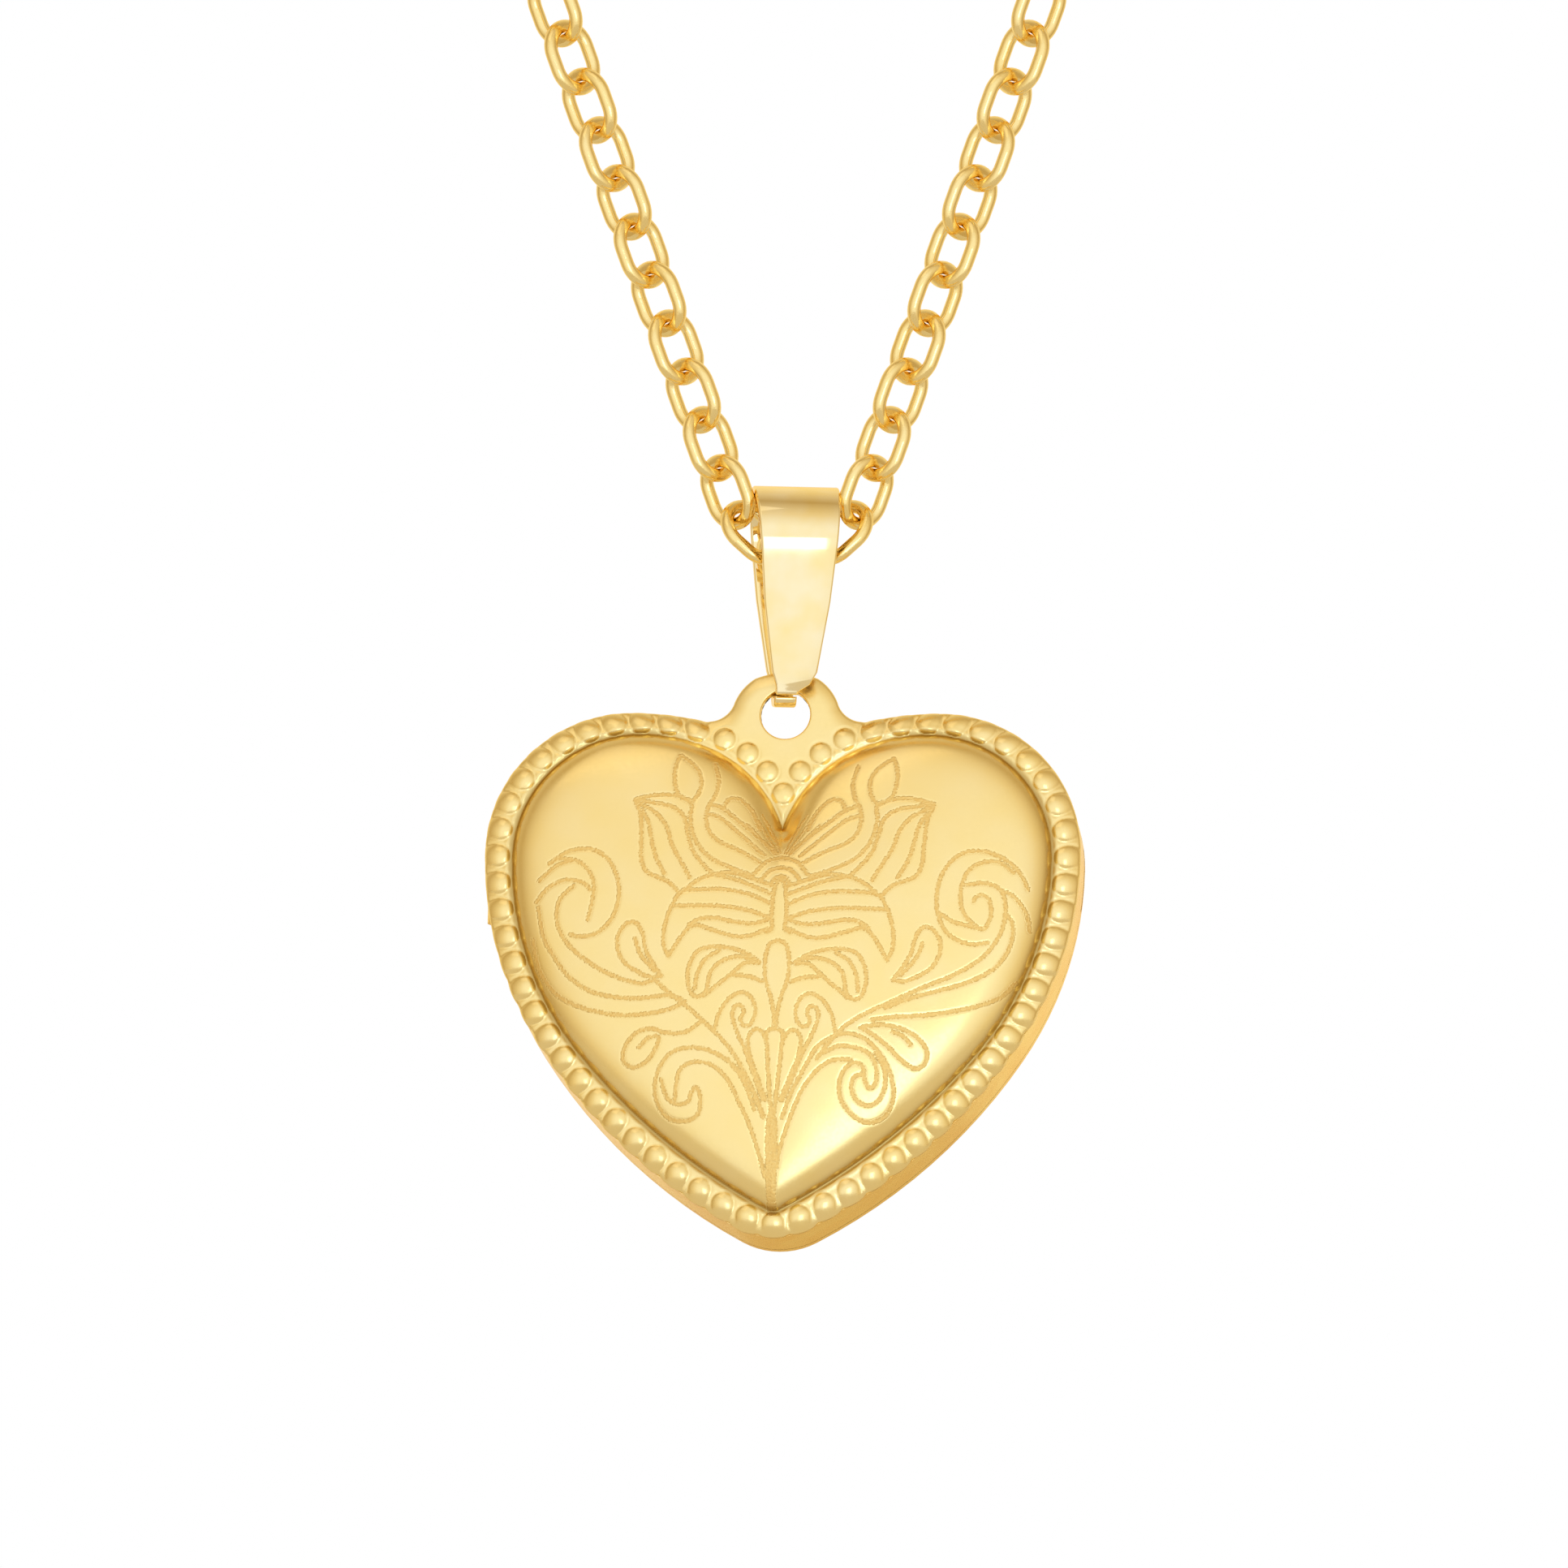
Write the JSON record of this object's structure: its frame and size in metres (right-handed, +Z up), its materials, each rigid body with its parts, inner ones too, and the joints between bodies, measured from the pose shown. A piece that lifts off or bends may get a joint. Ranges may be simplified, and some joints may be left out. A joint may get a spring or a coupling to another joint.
{
  "type": "locket",
  "caption": "Opening heart locket with a domed, engraved front, hung by a folded bail from a cable chain with a clasp.",
  "frame": {"origin": "midway between the two ends of the chain, level with the wires of its end rings", "axes": "+Z up along the hanging pendant, +X to the right, -Y towards the decorated front"},
  "size_m": [0.0295, 0.0095, 0.0644],
  "materials": {
    "chain_gold": "polished gold plate",
    "clasp_gold": "polished gold plate",
    "spring_steel": "spring steel",
    "bail_gold": "mirror polished gold plate",
    "cover_gold": "satin gold plate with matte etched pattern",
    "wall_gold": "satin gold plate",
    "fitting_gold": "polished gold plate",
    "holder_gold": "polished gold plate",
    "clear_window": "clear plastic sheet"
  },
  "bodies": {
    "chain_ends": {"left_jump_ring": "chain_gold", "right_end_ring": "chain_gold", "clasp_body": "clasp_gold", "clasp_pin": "clasp_gold", "clasp_spring": "spring_steel"},
    "clasp_gate": {"clasp_lever": "clasp_gold"},
    "chain": {"centre_link": "chain_gold", "left_link_01": "chain_gold", "left_link_02": "chain_gold", "left_link_03": "chain_gold", "left_link_04": "chain_gold", "left_link_05": "chain_gold", "left_link_06": "chain_gold", "left_link_07": "chain_gold", "left_link_08": "chain_gold", "left_link_09": "chain_gold", "left_link_10": "chain_gold", "left_link_11": "chain_gold", "left_link_12": "chain_gold", "left_link_13": "chain_gold", "right_link_01": "chain_gold", "right_link_02": "chain_gold", "right_link_03": "chain_gold", "right_link_04": "chain_gold", "right_link_05": "chain_gold", "right_link_06": "chain_gold", "right_link_07": "chain_gold", "right_link_08": "chain_gold", "right_link_09": "chain_gold", "right_link_10": "chain_gold", "right_link_11": "chain_gold", "right_link_12": "chain_gold", "right_link_13": "chain_gold"},
    "bail": {"bail_strap": "bail_gold"},
    "heart": {"front_cover": "cover_gold", "rim_band": "wall_gold", "front_photo_frame": "holder_gold", "front_photo_window": "clear_window", "body_hinge_knuckles": "fitting_gold", "hinge_pin": "fitting_gold", "catch_keeper": "fitting_gold"},
    "back": {"back_cover": "wall_gold", "back_photo_frame": "holder_gold", "back_photo_window": "clear_window", "cover_hinge_knuckle": "fitting_gold", "catch_tongue": "fitting_gold"}
  },
  "joints": [
    {"name": "chain_swing", "type": "hinge", "parent": "chain_ends", "child": "chain", "pos_m": [0, 0, 0], "axis": [1, 0, 0], "range_deg": [-40, 40]},
    {"name": "bail_swing", "type": "hinge", "parent": "chain", "child": "bail", "pos_m": [-0.0001, 0, -0.02433], "axis": [0.9943, 0.1045, -0.0208], "range_deg": [-30, 30]},
    {"name": "heart_swing", "type": "hinge", "parent": "bail", "child": "heart", "pos_m": [-0.00044, 0.00022, -0.03055], "axis": [0.9956, -0.0934, -0.0028], "range_deg": [-10, 25]},
    {"name": "cover_hinge", "type": "hinge", "parent": "heart", "child": "back", "pos_m": [-0.01224, 0.00276, -0.03834], "axis": [0.0238, 0.225, 0.9741], "range_deg": [0, 165]},
    {"name": "clasp_lever_press", "type": "hinge", "parent": "chain_ends", "child": "clasp_gate", "pos_m": [-0.0125, 0.00072, 0.00678], "axis": [0.6657, -0.7071, 0.2384], "range_deg": [0, 15], "stiffness_Nm_per_rad": 0.002}
  ]
}
